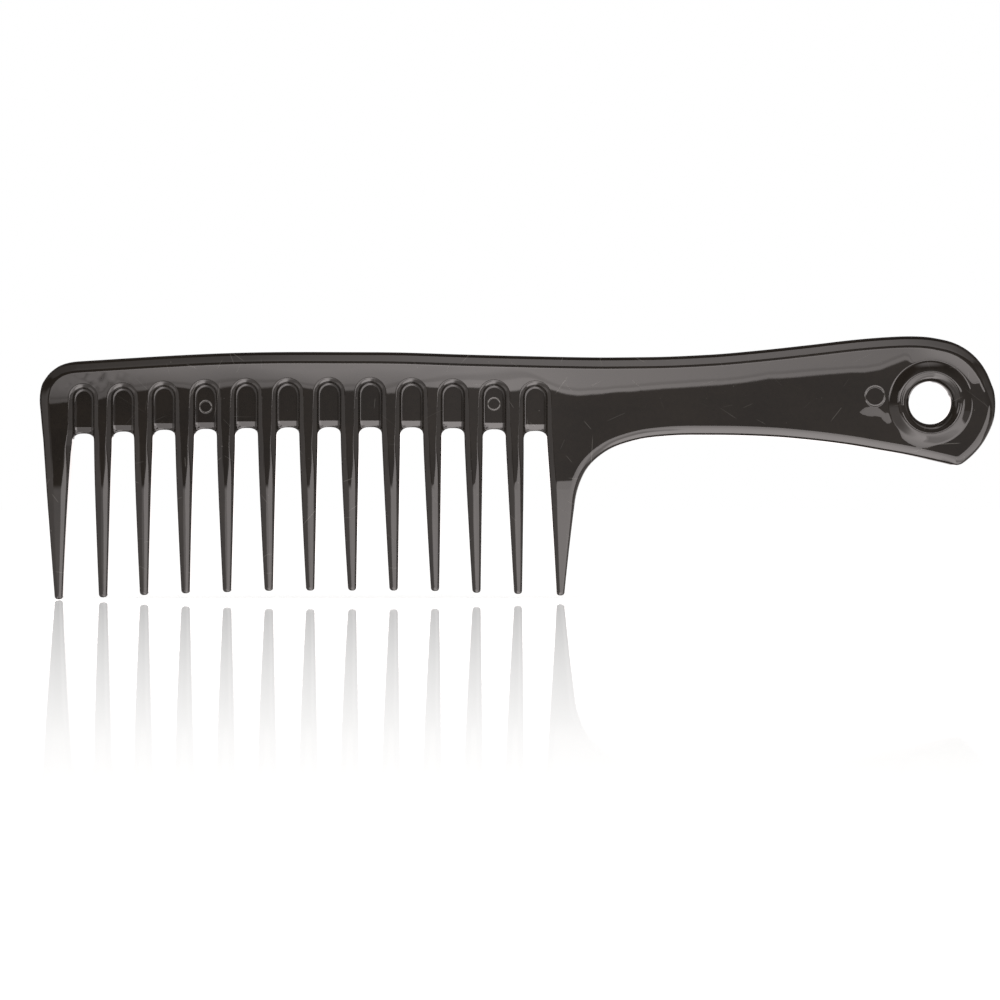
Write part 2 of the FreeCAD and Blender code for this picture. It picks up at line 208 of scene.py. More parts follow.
def gap_curve(i):
    """Up the right edge of tooth i, round its recess and down the next tooth."""
    left, right, top, _ = GAP_ROWS[i]
    radius = (right - left) / 2
    centre = (left + right) / 2
    z_centre = top - radius
    stations = edge_up(TEETH[i], 1, GAP_LEG_TOP)
    stations += [(left, z) for z in np.linspace(-7.2 if i == 0 else -8.4, z_centre, 5)]
    for j in range(1, 12):
        angle = math.pi * (1 - j / 12)
        stations.append((centre + radius * math.cos(angle), z_centre + radius * math.sin(angle)))
    stations += [(right, z) for z in np.linspace(z_centre, -8.4, 5)]
    return natural_spline(stations + edge_down(TEETH[i + 1], -1, GAP_LEG_TOP))


def wall_x(points, z):
    order = np.argsort(points[:, 1])
    return float(np.interp(z, points[order, 1], points[order, 0]))


def arch_curve(gap, apex):
    """The web's lower edge, left to right between the gap's walls."""
    foot = apex - ARCH_RISE
    top = int(np.argmax(gap[:, 1]))
    left, right = wall_x(gap[:top], foot), wall_x(gap[top:], foot)
    centre, half_width = (left + right) / 2, (right - left) / 2
    angle = np.linspace(math.pi, 0, 91)
    cos, sin = np.cos(angle), np.clip(np.sin(angle), 0, 1)
    return np.stack([centre + half_width * np.sign(cos) * np.abs(cos) ** ARCH_POWER,
                     foot + ARCH_RISE * sin ** ARCH_POWER], 1)


def normals_right(points):
    """Unit normals on the right-hand side of the direction of travel."""
    along = np.gradient(points, axis=0)
    along /= np.maximum(np.hypot(along[:, 0], along[:, 1]), 1e-12)[:, None]
    return np.stack([along[:, 1], -along[:, 0]], 1)


# distance; direction in which it grows; signed side (outward positive); outward normal
Near = namedtuple("Near", "distance away side normal")


class Curves:
    """Finds the nearest place on a set of curves."""

    def __init__(self, curves, outward):
        """outward is 1 where the open side is on the right of travel, else -1."""
        self.points = np.concatenate(curves)
        self.normals = np.concatenate([outward * normals_right(c) for c in curves])
        sizes = [len(c) for c in curves]
        ends = np.cumsum(sizes)
        self.first = np.repeat(ends - sizes, sizes)
        self.last = np.repeat(ends - 1, sizes)
        self.tree = kdtree.KDTree(len(self.points))
        for j, (x, z) in enumerate(self.points):
            self.tree.insert((x, z, 0.0), j)
        self.tree.balance()

    def near(self, places):
        index = np.array([self.tree.find((x, z, 0.0))[1] for x, z in places], int)
        distance = np.full(len(places), 1e9)
        foot = np.zeros((len(places), 2))
        normal = np.zeros((len(places), 2))
        for shift in (-1, 0):
            a = np.clip(index + shift, self.first[index], self.last[index])
            b = np.clip(index + shift + 1, self.first[index], self.last[index])
            start = self.points[a]
            edge = self.points[b] - start
            t = ((places - start) * edge).sum(1) / np.maximum((edge * edge).sum(1), 1e-12)
            t = np.clip(t, 0, 1)[:, None]
            spot = start + edge * t
            gap = np.hypot(*(places - spot).T)
            blend = self.normals[a] * (1 - t) + self.normals[b] * t
            closer = gap < distance
            distance[closer], foot[closer], normal[closer] = gap[closer], spot[closer], blend[closer]
        normal /= np.maximum(np.hypot(*normal.T), 1e-12)[:, None]
        offset = places - foot
        side = (offset * normal).sum(1)
        away = np.where((distance < 0.02)[:, None], -normal,
                        offset / np.maximum(distance, 1e-9)[:, None])
        return Near(distance, away, side, normal)


RIM = natural_spline(edge_up(TEETH[0], -1, Z_ROOT) + RIM_STATIONS
                     + edge_down(TEETH[LAST], 1, Z_HEEL))
GAPS = [gap_curve(i) for i in range(LAST)]
ARCHES = [arch_curve(curve, row.apex) for curve, row in zip(GAPS, GAP_ROWS)]
# The rim runs with the comb on its right; gaps and arches run with the
# opening on their right.
rim_curves = Curves([RIM], -1.0)
gap_curves = Curves(GAPS, 1.0)
arch_curves = Curves(ARCHES, 1.0)


# ------------------------------------------------------------------- surface
def sstep(x):
    x = np.clip(x, 0, 1)
    return x * x * (3 - 2 * x)


def by_height(z, table):
    """Piecewise linear in z through (z, value) rows."""
    return np.interp(z, *zip(*table))


def smooth_min(a, b, reach):
    h = np.clip(0.5 + 0.5 * (b - a) / reach, 0, 1)
    return b * (1 - h) + a * h - reach * h * (1 - h)


def smooth_max(a, b, reach):
    return -smooth_min(-a, -b, reach)


# Recess wall: steep at first, then a fillet easing onto the floor.
WALL_DIST = np.linspace(0.0, 0.90, 91)
fillet = sstep((WALL_DIST - 0.20) / 0.11)
wall_slope = 2.1 * (1 - fillet) + 0.23 * np.clip((0.86 - WALL_DIST) / 0.50, 0, 1) * fillet
wall_drop = np.concatenate(([0.0], np.cumsum((wall_slope[1:] + wall_slope[:-1]) / 2)))
WALL_SHARE = 1 - wall_drop / wall_drop[-1]


def face_half(z):
    """Half thickness of the flat faces: the teeth thin towards their tips."""
    u = np.clip((TAPER_0 - z) / (TAPER_0 - TAPER_1), 0, 1)
    run = (TAPER_0 - TAPER_1) * (u ** 3 - u ** 4 / 2) + np.clip(TAPER_1 - z, 0, None)
    return HALF - 0.0470 * run


def bevel(dist, face, width, slope, radius):
    """Height at a distance from an edge: a rounded corner, then a slope."""
    dist = np.maximum(dist, 0.0)
    sin, cos, tan = np.sin(slope), np.cos(slope), np.tan(slope)
    arc_end = radius * (1 - sin)
    centre = face - tan * (width - arc_end) - radius * cos
    arc = centre + np.sqrt(np.maximum(
        radius * radius - (radius - np.minimum(dist, radius)) ** 2, 0.0))
    return np.where(dist < arc_end, arc, face - tan * (width - dist))


# Both profiles return the bevel's height and the reach of its blend into the
# face; share is the part of the reach given over to that blend.
def rim_profile(z, face, dist, soft):
    reach = by_height(z, [(-50, 0.85), (-42, 0.95), (-30, 1.45), (-24, 1.75), (-16, 2.2),
                          (-7, 2.3), (7, 3.15)])
    slope = np.radians(by_height(z, [(-50, 23), (-24, 24)]))
    radius = by_height(z, [(-50, 0.42), (-40, 0.5), (-24, 0.75), (-12, 1.05), (-7, 1.1),
                           (7, 1.55)])
    share = by_height(z, [(-50, 0.40), (-40, 0.50), (-26, 0.48), (-16, 0.30), (-7, 0.28),
                          (7, 0.21)]) + 0.26 * soft
    return (bevel(dist, face, reach * (1 - share), slope, radius),
            reach * share * np.tan(slope))


def gap_profile(z, face, dist):
    reach = by_height(z, [(-50, 0.90), (-42, 1.05), (-29.4, 1.42), (-24, 1.70), (-20, 1.78),
                          (-17, 1.68), (-11, 1.60), (-5, 1.18)])
    slope = np.full_like(z, np.radians(28.0))
    radius = by_height(z, [(-50, 0.40), (-40, 0.46), (-12, 0.60), (-6, 0.48)])
    share = by_height(z, [(-50, 0.46), (-40, 0.50), (-20, 0.50), (-16, 0.40), (-11.5, 0.16),
                          (-8, 0.04), (-1.5, 0.04), (2, 0.25)])
    return (bevel(dist, face, reach * (1 - share), slope, radius),
            reach * share * np.tan(slope))


def waviness(x, z):
    """Faint ripple of the faces, weaker on the handle, and a patch at the left end."""
    ripple = (0.0008 * np.sin(x * 0.41 + 1.3 * np.sin(z * 0.21)) * np.cos(z * 0.33 + 0.6)
              + 0.0008 * np.sin(x * 0.173 + z * 0.47 + 1.1))
    patch = np.exp(-((x + 211.0) / 8.0) ** 2 - ((z - 6.2) / 3.0) ** 2)
    return ripple * (0.25 + 0.75 * sstep((-80.0 - x) / 20.0)) \
        + 0.0022 * patch * np.sin(1.9 * x + 0.8 * z + 1.7 * np.sin(0.9 * z)) \
        * np.cos(1.5 * z - 0.6 * x)


def groove(mark, x, z):
    radius = np.hypot(x - mark.x, z - mark.z)
    return mark.depth * np.exp(-((radius - mark.radius) / mark.width) ** 2)


def body_height(rim_dist, gap_dist, x, z, front):
    face = face_half(z)
    r = np.hypot(x, z)
    # the face falls away slightly outside the ring at the handle's end
    out = np.clip(r - 10.8, 0, None)
    side = sstep((x + 6.0) / 9.0) * (0.15 + 0.85 * sstep((z + 8.0) / 13.0))
    face = face - 0.030 * (np.sqrt(out * out + 0.36) - 0.6) * side
    # and it sinks slightly to the left of the ring
    face = face - 0.034 * np.exp(-((x + 10.9) / 2.0) ** 2 - ((z + 2.6) / 2.6) ** 2)
    face = face - 0.042 * np.exp(-((x + 14.2) / 4.3) ** 2 - ((z + 0.5) / 2.2) ** 2)
    face = face + waviness(x, z)
    soft = sstep((x - 2.0) / 6.0) * sstep((3.0 - z) / 5.0)
    height = smooth_min(face, *rim_profile(z, face, rim_dist, soft))
    gap_height, gap_blend = gap_profile(z, face, gap_dist)
    height = smooth_min(height, gap_height, gap_blend)
    # raised ring round the hole, rounded over into the bore
    tent = 3.18 - math.tan(math.radians(15.8)) * np.sqrt((r - 7.75) ** 2 + 0.42)
    reach = 0.08 + 0.30 * sstep((-z - 5.0) / 4.0) * sstep((2.0 - x) / 5.0) \
        * sstep((x + 13.0) / 5.0)
    height = np.where(r < 14, smooth_max(height, tent, reach), height)
    bore = np.clip((r - R_HOLE) / 1.8, 0, 1)
    lip = 0.85 + 2.10 * np.sqrt(np.maximum(1 - (1 - bore) ** 2, 0))
    lip = lip + 1.5 * np.clip(r - R_HOLE - 1.8, 0, None) ** 2
    height = np.where(r < 9.0, smooth_min(height, lip, 0.10), height)
    if front:
        height = height - groove(HANDLE_MARK, x, z)
    return height


def web_height(gap_dist, arch_dist, x, z, apex, front):
    """Recess: a flat floor with a fillet up the wall and a bevel over the arch."""
    top = gap_profile(z, HALF, 0.0)[0]
    flat = WEB - 0.0065 * (5.0 - z)
    sloped = WEB - 0.06 - math.tan(math.radians(27)) * (apex + WEB_BEVEL - z)
    floor = np.maximum(smooth_min(flat, sloped, 0.03), 0.30)
    if front:
        for mark in WEB_MARKS:
            floor = floor - groove(mark, x, z)
    height = floor + (top - floor) * np.interp(gap_dist, WALL_DIST, WALL_SHARE)
    v = np.clip((0.50 - arch_dist) / 0.50, 0, 1)
    cut = 0.42 * (1 - np.sqrt(np.maximum(1 - v * v, 0))) * sstep(gap_dist / 0.5)
    return height - np.minimum(cut, height - 0.08)


def surface(points, rim, gap, arch, front):
    """Half thickness, and unit normal with +y pointing out of the face."""
    x, z = points[:, 0], points[:, 1]
    row = np.clip(np.round((x - FIRST_GAP_X) / GAP_PITCH), 0, LAST - 1).astype(int)
    apex = np.array([g.apex for g in GAP_ROWS])[row]
    in_web = gap.side > 1e-4
    step = 2e-4
    where = [rim.distance, gap.distance, arch.distance, x, z]

    def height_at(rim_dist, gap_dist, arch_dist, x, z):
        return np.where(in_web, web_height(gap_dist, arch_dist, x, z, apex, front),
                        body_height(rim_dist, gap_dist, x, z, front))

    def slope(k):
        # distances are not taken below zero
        back = np.minimum(where[k], step) if k < 3 else step
        ahead, behind = list(where), list(where)
        ahead[k] = where[k] + step
        behind[k] = where[k] - back
        return (height_at(*ahead) - height_at(*behind)) / (step + back)

    by_rim, by_gap, by_arch, by_x, by_z = (slope(k) for k in range(5))
    nx, nz = (-(by_rim * rim.away[:, k] + by_gap * gap.away[:, k]
                + by_arch * arch.away[:, k] + direct)
              for k, direct in enumerate((by_x, by_z)))
    limit = np.minimum(1.0, 5.0 / np.maximum(np.hypot(nx, nz), 1e-9))
    normal = np.stack([nx * limit, np.ones(len(x)), nz * limit], 1)
    normal /= np.linalg.norm(normal, axis=1)[:, None]
    return height_at(*where), normal


# ------------------------------------------------------------- triangulation
plan_points = []
plan_edges = []


def add_points(points):
    plan_points.extend((float(x), float(z)) for x, z in points)


def add_line(points, closed=False):
    first, count = len(plan_points), len(points)
    add_points(points)
    plan_edges.extend((first + j, first + j + 1) for j in range(count - 1))
    if closed:
        plan_edges.append((first + count - 1, first))


def thinned(points):
    """A dense curve's points and right-hand normals, closer where it bends."""
    normals = normals_right(points)
    keep = [0]
    run = turn = 0.0
    for j in range(1, len(points)):
        run += math.hypot(*(points[j] - points[j - 1]))
        cos = normals[j][0] * normals[j - 1][0] + normals[j][1] * normals[j - 1][1]
        turn += math.acos(max(-1.0, min(1.0, cos)))
        if run >= COARSE or (turn > BEND and run >= CLOSE) or j == len(points) - 1:
            keep.append(j)
            run = turn = 0.0
    return points[keep], normals[keep]


RIM_LINE, RIM_NORMALS = thinned(RIM)
GAP_LINES = [thinned(curve) for curve in GAPS]
ARCH_LINES = [(curve[::3], normals_right(curve)[::3]) for curve in ARCHES]


def closed_outline():
    """The rim, then back under each web from right to left."""
    parts = [RIM_LINE]
    for (gap, _), (arch, _) in zip(GAP_LINES[::-1], ARCH_LINES[::-1]):
        top = int(np.argmax(gap[:, 1]))
        foot = arch[0][1]
        right, left = gap[top:], gap[:top]
        parts += [right[right[:, 1] < foot][::-1], arch[::-1], left[left[:, 1] < foot][::-1]]
    return np.concatenate(parts)


OUTLINE = closed_outline()


def inside(points):
    """Even-odd test against the outline, leaving out the hole."""
    x, z = points[:, 0], points[:, 1]
    order = np.argsort(x)
    sorted_x = x[order]
    hits = np.zeros(len(points), int)
    for (ax, az), (bx, bz) in zip(OUTLINE, np.roll(OUTLINE, -1, axis=0)):
        if ax == bx:
            continue
        start, end = np.searchsorted(sorted_x, (min(ax, bx), max(ax, bx)), "left")
        chosen = order[start:end]
        hits[chosen] += az + (bz - az) * (x[chosen] - ax) / (bx - ax) > z[chosen]
    return (hits % 2 == 1) & (np.hypot(x, z) > R_HOLE - 1e-4)


def add_parallel(line, normals, offset, is_clear):
    """A line parallel to a curve, kept where nothing else is nearer."""
    points = line + normals * offset
    run = []
    for point, clear in zip(points, is_clear(points, abs(offset))):
        if clear:
            run.append(point)
            continue
        if len(run) > 1:
            add_line(run)
        run = []
    if len(run) > 1:
        add_line(run)


def body_clear(points, offset):
    gap = gap_curves.near(points)
    nearest = np.minimum(rim_curves.near(points).distance, gap.distance)
    r = np.hypot(points[:, 0], points[:, 1])
    return (nearest > offset * 0.985) & (gap.side < 0.02) & inside(points) & (r > 11.45)


def in_web_clear(points, gap_limit, arch_limit):
    gap = gap_curves.near(points)
    return (gap.distance > gap_limit) & (arch_curves.near(points).distance > arch_limit) \
        & (gap.side > 0) & inside(points)


def web_clear(points, offset):
    return in_web_clear(points, offset * 0.985, 0.60)


def arch_clear(points, offset):
    return in_web_clear(points, 0.06, offset * 0.97)


def circle(x, z, radius, count):
    angles = np.linspace(0, 2 * math.pi, count + 1)[:-1]
    return [(x + radius * math.cos(a), z + radius * math.sin(a)) for a in angles]


def fill_points():
    """Staggered grid over the broad faces, away from every line."""
    grid = []
    row = 0
    z = -24.0
    while z < 18.0:
        x = -224.0 + (0.7 if row % 2 else 0.0)
        while x < 17.0:
            grid.append((x, z))
            x += 1.4
        z += 1.2
        row += 1
    grid = np.array(grid)
    gap = gap_curves.near(grid)
    r = np.hypot(grid[:, 0], grid[:, 1])
    mark_r = np.hypot(grid[:, 0] - HANDLE_MARK.x, grid[:, 1] - HANDLE_MARK.z)
    on_body = (gap.side < 0) & (rim_curves.near(grid).distance > 3.9) & (gap.distance > 2.0) \
        & (r > 14.2) & (mark_r > 3.2)
    on_web = (gap.side > 0) & (gap.distance > 1.4) & (arch_curves.near(grid).distance > 2.4)
    return grid[inside(grid) & (on_body | on_web)]


def lay_out_plan():
    add_line(RIM_LINE)
    for (gap, _), (arch, _) in zip(GAP_LINES, ARCH_LINES):
        add_line(gap)
        add_line(arch)
    for offset in RIM_OFFSETS:
        add_parallel(RIM_LINE, RIM_NORMALS, offset, body_clear)
    for gap_line, arch_line, row in zip(GAP_LINES, ARCH_LINES, GAP_ROWS):
        for offset in GAP_BODY_OFFSETS:
            add_parallel(*gap_line, -offset, body_clear)
        for offset in GAP_WEB_OFFSETS:
            add_parallel(*gap_line, offset, web_clear)
        for offset in ARCH_OFFSETS:
            add_parallel(*arch_line, -offset, arch_clear)
        bevel_top = row.apex + WEB_BEVEL
        for offset in WEB_BEVEL_OFFSETS:
            add_line([(x, bevel_top + offset)
                      for x in np.linspace(row.left + 0.1, row.right - 0.1, 26)])
    for i, (left, right, tip) in enumerate(TEETH):
        # along the middle of each tooth
        heights = np.arange(tip + 1.0, -9.6 if i < LAST else -26.0, 1.0)
        add_line([((edge_x(left, z) + edge_x(right, z)) / 2, z) for z in heights])
    for radius in EYE_RADII:
        add_line(circle(0, 0, radius, 144), closed=True)
    for radius in LOOSE_EYE_RADII:
        ring = np.array(circle(0, 0, radius, 144))
        add_points(ring[inside(ring) & (rim_curves.near(ring).distance > 3.5)])
    for mark, radii in ((HANDLE_MARK, HANDLE_MARK_RADII), *((m, WEB_MARK_RADII) for m in WEB_MARKS)):
        for radius in radii:
            add_line(circle(mark.x, mark.z, radius, 48), closed=True)
    # seams between the pieces
    add_line([(-225.0, Z_ROOT), (X_LAST, Z_ROOT)])
    add_line([(-98.0, Z_HEEL), (-87.0, Z_HEEL)])
    add_line([(X_NECK, -11.0), (X_NECK, 13.5)])
    add_points(fill_points())


def triangulate():
    result = delaunay_2d_cdt([Vector(p) for p in plan_points], plan_edges, [], 0, 1e-5, False)
    points = np.array([(v.x, v.y) for v in result[0]])
    faces = np.array([tuple(f) for f in result[2]], int)
    faces = faces[inside(points[faces].mean(1))]
    side1 = points[faces[:, 1]] - points[faces[:, 0]]
    side2 = points[faces[:, 2]] - points[faces[:, 0]]
    area = side1[:, 0] * side2[:, 1] - side1[:, 1] * side2[:, 0]
    faces[area < 0] = faces[area < 0][:, ::-1]
    return points, faces[np.abs(area) > 1e-9]


lay_out_plan()
POINTS, FACES = triangulate()
near_all = [curves.near(POINTS) for curves in (rim_curves, gap_curves, arch_curves)]
FRONT_HALF, FRONT_NORMAL = surface(POINTS, *near_all, front=True)
BACK_HALF, BACK_NORMAL = surface(POINTS, *near_all, front=False)
point_r = np.hypot(POINTS[:, 0], POINTS[:, 1])
# distance and outward normal of every edge a side wall can follow
WALL_SOURCES = [(near.distance, near.normal) for near in near_all]
WALL_SOURCES.append((np.abs(point_r - R_HOLE), -POINTS / np.maximum(point_r, 1e-9)[:, None]))

# -------------------------------------------------------------------- pieces
PIECES = ["spine"] + ["tooth_%02d" % (i + 1) for i in range(13)] + ["handle", "hang_eye"]


def face_owners():
    """Index into PIECES for every face."""
    x, z = POINTS[FACES].mean(1).T
    owner = np.zeros(len(FACES), int)
    owner[x > X_NECK] = PIECES.index("handle")
    owner[np.hypot(x, z) < R_EYE] = PIECES.index("hang_eye")
    middles = np.array([(edge_x(t.left, -30.0) + edge_x(t.right, -30.0)) / 2 for t in TEETH])
    tooth = np.argmin(np.abs(x[:, None] - middles[None, :]), 1)
    low = (z < Z_ROOT) & (tooth < LAST) & (x < X_LAST)
    owner[low] = 1 + tooth[low]
    owner[(z < Z_HEEL) & (x > X_LAST)] = 1 + LAST
    return owner


def wall_normal(point, flat):
    """Smooth edge normal at a point that agrees with the flat one, or None."""
    def agreement(normal):
        return normal[0] * flat[0] + normal[1] * flat[1]

    found = [normals[point] for distance, normals in WALL_SOURCES
             if distance[point] < 0.012 and agreement(normals[point]) > 0.80]
    return max(found, key=agreement, default=None)


def place(name, data):
    ob = bpy.data.objects.new(name, data)
    bpy.context.scene.collection.objects.link(ob)
    return ob


def build_piece(name, triangles, material):
    used, local = np.unique(triangles, return_inverse=True)
    local = local.reshape(triangles.shape).tolist()
    count = len(used)
    x, z = POINTS[used, 0], POINTS[used, 1]
    verts = np.concatenate([np.stack([x, -FRONT_HALF[used], z], 1),
                            np.stack([x, BACK_HALF[used], z], 1)])
    front = FRONT_NORMAL[used] * (1, -1, 1)
    back = BACK_NORMAL[used]
    faces = []
    normals = []
    for a, b, c in local:
        faces += [(a, b, c), (count + a, count + c, count + b)]
        normals += [front[a], front[b], front[c], back[a], back[c], back[b]]
    # side walls along the piece's border
    edges = {pair for a, b, c in local for pair in ((a, b), (b, c), (c, a))}
    for start, end in sorted(edges):
        if (end, start) in edges:
            continue
        along = POINTS[used[end]] - POINTS[used[start]]
        flat = np.array([along[1], -along[0]]) / max(np.hypot(*along), 1e-12)
        pair = [wall_normal(used[j], flat) for j in (start, end)]
        if pair[0] is None or pair[1] is None:
            pair = [flat, flat]
        faces.append((end, start, count + start, count + end))
        at_start, at_end = ((n[0], 0, n[1]) for n in pair)
        normals += [at_end, at_start, at_start, at_end]
    mesh = bpy.data.meshes.new("vis_" + name)
    mesh.from_pydata((verts * METRES_PER_MM).tolist(), [], faces, shade_flat=False)
    mesh.normals_split_custom_set([tuple(float(c) for c in n) for n in normals])
    mesh.materials.append(material)
    ob = place("vis_" + name, mesh)
    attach(ob, "root")
    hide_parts(name)


# ------------------------------------------------------------ node utilities
def cleared_tree(owner):
    owner.use_nodes = True
    owner.node_tree.nodes.clear()
    return owner.node_tree


def add_node(tree, kind, inputs=(), **settings):
    """Adds a node; an input is a number, a socket, a Value or a node (first output)."""
    node = tree.nodes.new("ShaderNode" + kind)
    for key, setting in settings.items():
        setattr(node, key, setting)
    for key, source in dict(inputs).items():
        if isinstance(source, Value):
            source = source.socket
        elif isinstance(source, bpy.types.Node):
            source = source.outputs[0]
        if isinstance(source, bpy.types.NodeSocket):
            tree.links.new(source, node.inputs[key])
        else:
            node.inputs[key].default_value = source
    return node


def calc(operation, *args):
    tree = next(arg.tree for arg in args if isinstance(arg, Value))
    return Value(tree, add_node(tree, "Math", enumerate(args), operation=operation).outputs[0])


class Value:
    """A shader value; arithmetic on it adds math nodes to its tree."""

    def __init__(self, tree, socket):
        self.tree, self.socket = tree, socket

    def __add__(self, other): return calc("ADD", self, other)
    def __radd__(self, other): return calc("ADD", other, self)
    def __sub__(self, other): return calc("SUBTRACT", self, other)
    def __rsub__(self, other): return calc("SUBTRACT", other, self)
    def __mul__(self, other): return calc("MULTIPLY", self, other)
    def __truediv__(self, other): return calc("DIVIDE", self, other)
    def min(self, other): return calc("MINIMUM", self, other)
    def max(self, other): return calc("MAXIMUM", self, other)
    def abs(self): return calc("ABSOLUTE", self)

    def map_range(self, x0, x1, y0, y1, interpolation="LINEAR"):
        node = add_node(self.tree, "MapRange", {
            "Value": self, "From Min": x0, "From Max": x1, "To Min": y0, "To Max": y1,
        }, interpolation_type=interpolation)
        return Value(self.tree, node.outputs["Result"])

    def rise(self, zero_at, one_at):
        """Smooth step from 0 to 1; it falls with the value if one_at < zero_at."""
        return self.map_range(zero_at, one_at, 0.0, 1.0, "SMOOTHSTEP")

    def ramp(self, points):
        """Piecewise linear function through (value, result) points."""
        total = None
        for (x0, y0), (x1, y1) in zip(points, points[1:]):
            if total is None:
                total = self.map_range(x0, x1, y0, y1)
            else:
                total = total + self.map_range(x0, x1, 0.0, y1 - y0)
        return total


def band(value, low, high, soft):
    """1 between low and high, with edges soft wide."""
    return value.rise(low - soft / 2, low + soft / 2) \
        * value.rise(high + soft / 2, high - soft / 2)


def split(tree, source, kind="SeparateXYZ"):
    return [Value(tree, socket) for socket in add_node(tree, kind, {0: source}).outputs]


# ----------------------------------------------------------------- materials
# Lengths in the shaders are in metres.
def noise(tree, coords, scale, detail, stretch=(1, 1, 1), roughness=0.5):
    mapping = add_node(tree, "Mapping", {"Scale": stretch, "Vector": coords})
    node = add_node(tree, "TexNoise", {"Scale": scale, "Detail": detail,
                                       "Roughness": roughness, "Vector": mapping})
    return Value(tree, node.outputs["Fac"])


def mix_colors(tree, factor, first, second):
    node = tree.nodes.new("ShaderNodeMix")
    node.data_type = "RGBA"
    tree.links.new(factor.socket, node.inputs["Factor"])
    for key, color in (("A", first), ("B", second)):
        if isinstance(color, tuple):
            node.inputs[key].default_value = color
        else:
            tree.links.new(color, node.inputs[key])
    return node.outputs["Result"]


def scratches(x, z, per_metre, half_length, half_width, share, shift, turn):
    """One short straight line in a share of the cells of a scattered grid."""
    tree = x.tree
    grid_x, grid_z = x * per_metre + shift, z * per_metre - shift
    at = add_node(tree, "CombineXYZ", {0: grid_x, 1: grid_z})
    cells = add_node(tree, "TexVoronoi", {"Scale": 1.0, "Vector": at}, voronoi_dimensions="2D")
    centre = split(tree, cells.outputs["Position"])
    red, green, blue = split(tree, cells.outputs["Color"], "SeparateColor")
    off_x, off_z = grid_x - centre[0], grid_z - centre[1]
    angle = (red - 0.5) * turn + 0.5
    cos, sin = calc("COSINE", angle), calc("SINE", angle)
    across = (off_x * sin - off_z * cos).abs()
    along = (off_x * cos + off_z * sin).abs()
    width, length = half_width * per_metre, half_length * per_metre
    line = across.rise(width, 0.3 * width) * along.rise(length, 0.5 * length)
    return line * green.rise(1 - share, 1.02 - share) * (blue * 0.65 + 0.35)


def comb_plastic():
    material = bpy.data.materials.new("comb_plastic_polished")
    tree = cleared_tree(material)
    coords = add_node(tree, "TexCoord").outputs["Object"]
    x, y, z = split(tree, coords)

    # two dark browns in soft flow lines
    flow = noise(tree, coords, scale=38.0, detail=3.0, stretch=(1.0, 1.0, 2.4))
    grain = noise(tree, coords, scale=900.0, detail=2.0)
    base = mix_colors(tree, (flow * 0.7 + grain * 0.3).rise(0.30, 0.70),
                      (0.0143, 0.0114, 0.0094, 1), (0.0217, 0.0170, 0.0132, 1))

    # handling wear: pale scratches of three lengths and dust-sized specks
    used = noise(tree, coords, scale=26.0, detail=2.0).rise(0.40, 0.62) * 0.85 + 0.15
    wear = scratches(x, z, per_metre=130.0, half_length=0.0030, half_width=0.00011,
                     share=0.30, shift=3.7, turn=2.6)
    wear = wear + scratches(x, z, per_metre=75.0, half_length=0.0055, half_width=0.00009,
                            share=0.26, shift=11.2, turn=3.1) * 0.8
    wear = wear + scratches(x, z, per_metre=210.0, half_length=0.0016, half_width=0.00010,
                            share=0.30, shift=5.1, turn=3.0) * 0.7
    wear = wear + scratches(x, z, per_metre=330.0, half_length=0.00014, half_width=0.00014,
                            share=0.07, shift=8.4, turn=3.1) * 1.2
    wear = (wear * used).min(1.0)
    # the lips of the shallow round marks are rubbed paler, on the front only
    for mark in (*WEB_MARKS, HANDLE_MARK):
        mark_x, mark_z = mark.x / MM_PER_METRE, mark.z / MM_PER_METRE
        width = mark.lip_width / MM_PER_METRE
        r = calc("SQRT", (x - mark_x) * (x - mark_x) + (z - mark_z) * (z - mark_z))
        lip = (r - mark.radius / MM_PER_METRE).abs().rise(width * 1.6, width * 0.4) \
            * y.rise(0.0, -0.0004)
        wear = wear.max(lip * mark.paleness)
    color = mix_colors(tree, wear, base, (0.160, 0.148, 0.134, 1))

    # hairline marks, long in x, where the surface is worn, over faint smears
    hair = noise(tree, coords, scale=420.0, detail=1.0, stretch=(0.06, 1.0, 1.0), roughness=0.4)
    smear = noise(tree, coords, scale=65.0, detail=4.0, roughness=0.6)
    worn = noise(tree, coords, scale=30.0, detail=2.0).rise(0.48, 0.62)
    roughness = 0.004 + smear.rise(0.40, 0.80) * 0.006 + hair.rise(0.66, 0.80) * worn * 0.045

    skin = noise(tree, coords, scale=1500.0, detail=2.0)
    bump = add_node(tree, "Bump", {"Strength": 1.0, "Distance": 0.00000004, "Height": skin})
    shader = add_node(tree, "BsdfPrincipled", {"Base Color": color, "Roughness": roughness,
                                               "IOR": 1.5, "Normal": bump})
    add_node(tree, "OutputMaterial", {0: shader})
    return material


